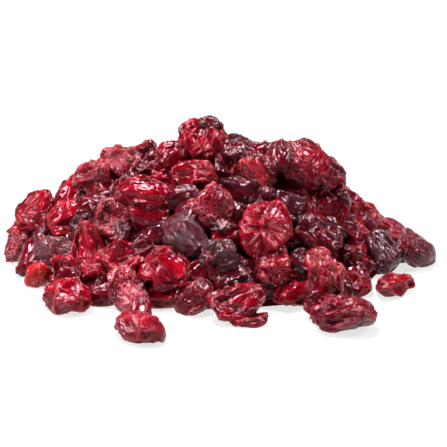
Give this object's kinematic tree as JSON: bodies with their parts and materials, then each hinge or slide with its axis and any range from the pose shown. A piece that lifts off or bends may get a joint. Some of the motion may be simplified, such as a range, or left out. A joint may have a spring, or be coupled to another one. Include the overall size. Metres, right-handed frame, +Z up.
{
  "type": "dried cranberry heap",
  "caption": "Loose heap of dried cranberries as it lies on a table, with a few berries that have rolled out in front.",
  "frame": {"origin": "middle of the heap's bounding box, on the table", "axes": "+X along the heap, to the right as seen from its front; +Y away from its front; +Z up"},
  "size_m": [0.1166, 0.092, 0.0384],
  "materials": {
    "dried_cranberry": "satin"
  },
  "bodies": {
    "root": {"cranberries": "dried_cranberry"}
  },
  "joints": []
}
